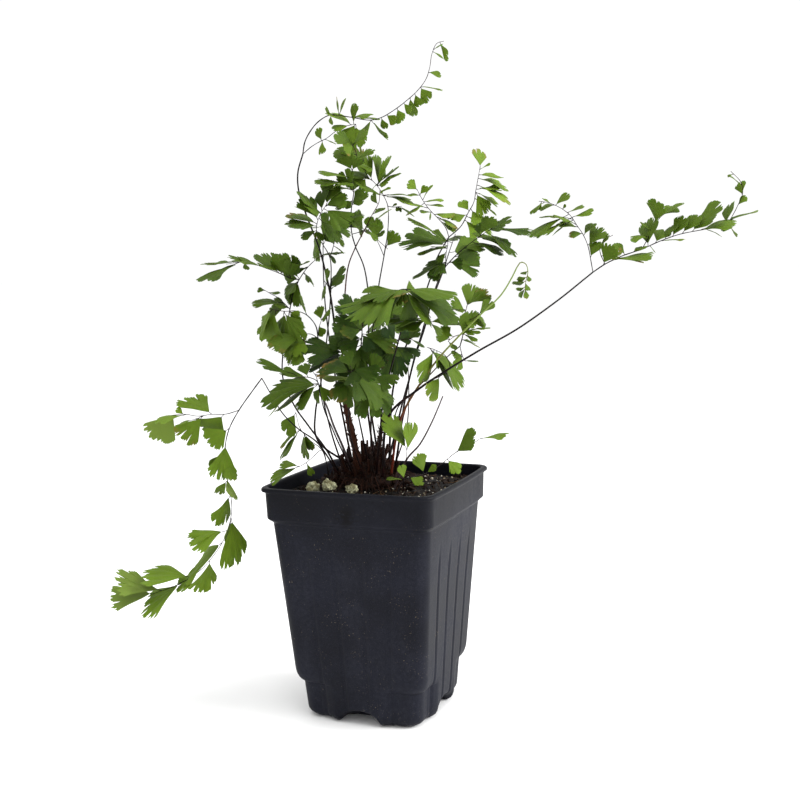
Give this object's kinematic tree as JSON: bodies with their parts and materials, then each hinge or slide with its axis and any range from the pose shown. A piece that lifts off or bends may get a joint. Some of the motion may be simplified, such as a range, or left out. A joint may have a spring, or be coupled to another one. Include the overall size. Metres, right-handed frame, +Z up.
{
  "type": "potted maidenhair fern",
  "caption": "Maidenhair fern with wiry dark stipes and lobed fan leaflets, growing from a scaly crown in a tapered square nursery pot of potting mix.",
  "frame": {"origin": "centre of the flat pad under the pot, on the surface it stands on", "axes": "+Z up; the pot's four sides face +X, -X, +Y and -Y; the fern's fullest view is seen from the front right corner, from about -Y turned 21 degrees towards +X"},
  "size_m": [0.2928, 0.1668, 0.3276],
  "materials": {
    "pot_plastic": "satin moulded polypropylene, dusty with dried mix",
    "potting_mix": "damp peat and bark, matt",
    "perlite": "matt, stained by peat and algae",
    "scaly_crown": "rough brown scales and root hairs",
    "wiry_stipe": "smooth and glossy, black-brown",
    "young_stipe": "smooth, reddish below and green above",
    "leaf": "thin soft leaf, satin, radiating veins"
  },
  "bodies": {
    "root": {"pot": "pot_plastic", "potting_mix": "potting_mix", "crown": "scaly_crown", "left_hanging_stipe": "wiry_stipe", "top_arch_stipe": "wiry_stipe", "left_arch_stipe": "wiry_stipe", "left_low_stipe": "wiry_stipe", "front_left_stipe": "wiry_stipe", "front_middle_stipe": "wiry_stipe", "front_high_stipe": "wiry_stipe", "centre_low_stipe": "wiry_stipe", "centre_right_stipe": "wiry_stipe", "right_upper_stipe": "wiry_stipe", "right_fan_stipe": "wiry_stipe", "centre_tall_stipe": "wiry_stipe", "crossing_red_stipe": "wiry_stipe", "crossing_dark_stipe": "wiry_stipe", "upper_left_stipe": "wiry_stipe", "fiddlehead_stipe": "young_stipe", "right_middle_stipe": "wiry_stipe", "right_low_stipe": "wiry_stipe", "right_long_stipe": "wiry_stipe", "back_right_stipe": "wiry_stipe", "back_left_stipe": "wiry_stipe", "back_low_stipe": "wiry_stipe", "left_hanging_blade": "leaf", "top_arch_blade": "leaf", "left_arch_blade": "leaf", "left_low_blade": "leaf", "front_left_blade": "leaf", "front_middle_blade": "leaf", "front_high_blade": "leaf", "centre_low_blade": "leaf", "centre_right_blade": "leaf", "right_upper_blade": "leaf", "right_fan_blade": "leaf", "centre_tall_blade": "leaf", "crossing_red_blade": "leaf", "crossing_dark_blade": "leaf", "upper_left_blade": "leaf", "fiddlehead_blade": "leaf", "right_middle_blade": "leaf", "right_low_blade": "leaf", "right_long_blade": "leaf", "back_right_blade": "leaf", "back_left_blade": "leaf", "back_low_blade": "leaf", "heart_sprig": "leaf", "creeping_sprig": "leaf", "left_sprig": "leaf", "rim_sprig": "leaf", "bare_stem_right": "wiry_stipe", "bare_stem_left": "wiry_stipe", "bare_stem_back": "wiry_stipe", "stump_tall": "scaly_crown", "stump_short": "scaly_crown", "perlite_1": "perlite", "perlite_2": "perlite", "perlite_3": "perlite"}
  },
  "joints": []
}
